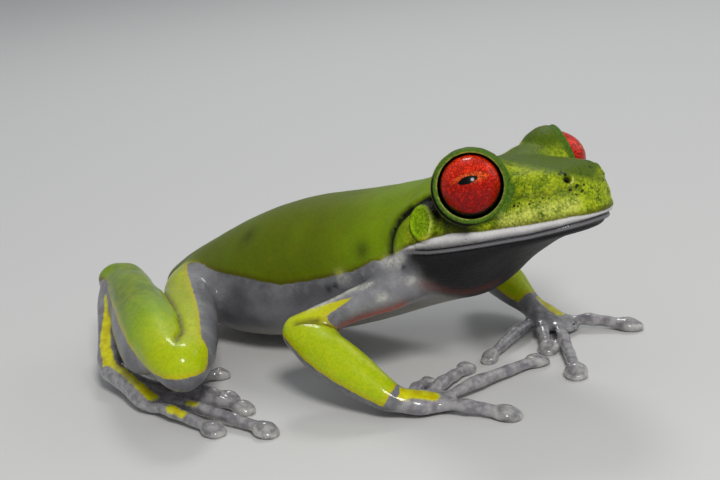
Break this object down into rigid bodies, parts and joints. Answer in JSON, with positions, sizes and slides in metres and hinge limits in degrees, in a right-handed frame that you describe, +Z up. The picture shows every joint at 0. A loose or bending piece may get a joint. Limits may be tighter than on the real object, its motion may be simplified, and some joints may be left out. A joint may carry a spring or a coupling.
{
  "type": "red-eyed tree frog model",
  "caption": "Life-size still model of a slender tree frog crouching with raised head, large red eyes, folded hind legs and spread toes ending in round discs.",
  "frame": {"origin": "on the floor under the middle of the model's box", "axes": "+X where the body points, from rump to snout, +Y the frog's left side, +Z up"},
  "size_m": [0.0686, 0.0606, 0.0282],
  "materials": {
    "back_skin": "fine granular skin, satin, leaf green",
    "bright_skin": "smooth satin skin, bright yellow-green",
    "throat_skin": "fine granular skin, satin, pale grey",
    "belly_skin": "soft skin, satin, pale grey",
    "pad_skin": "wet-looking skin, glossy, pale grey",
    "eye": "very glossy, red iris and dark pupil"
  },
  "bodies": {
    "root": {"head": "back_skin", "lower_jaw": "throat_skin", "torso": "back_skin", "eye_r": "eye", "tympanum_r": "back_skin", "upper_arm_r": "belly_skin", "forearm_r": "bright_skin", "hand_r": "pad_skin", "finger_r_1": "pad_skin", "finger_r_2": "pad_skin", "finger_r_3": "pad_skin", "finger_r_4": "pad_skin", "thigh_r": "back_skin", "shank_r": "bright_skin", "tarsus_r": "belly_skin", "foot_r": "pad_skin", "toe_r_1": "pad_skin", "toe_r_2": "pad_skin", "toe_r_3": "pad_skin", "toe_r_4": "pad_skin", "toe_r_5": "pad_skin", "eye_l": "eye", "tympanum_l": "back_skin", "upper_arm_l": "belly_skin", "forearm_l": "bright_skin", "hand_l": "pad_skin", "finger_l_1": "pad_skin", "finger_l_2": "pad_skin", "finger_l_3": "pad_skin", "finger_l_4": "pad_skin", "thigh_l": "back_skin", "shank_l": "bright_skin", "tarsus_l": "belly_skin", "foot_l": "pad_skin", "toe_l_1": "pad_skin", "toe_l_2": "pad_skin", "toe_l_3": "pad_skin", "toe_l_4": "pad_skin", "toe_l_5": "pad_skin"}
  },
  "joints": []
}
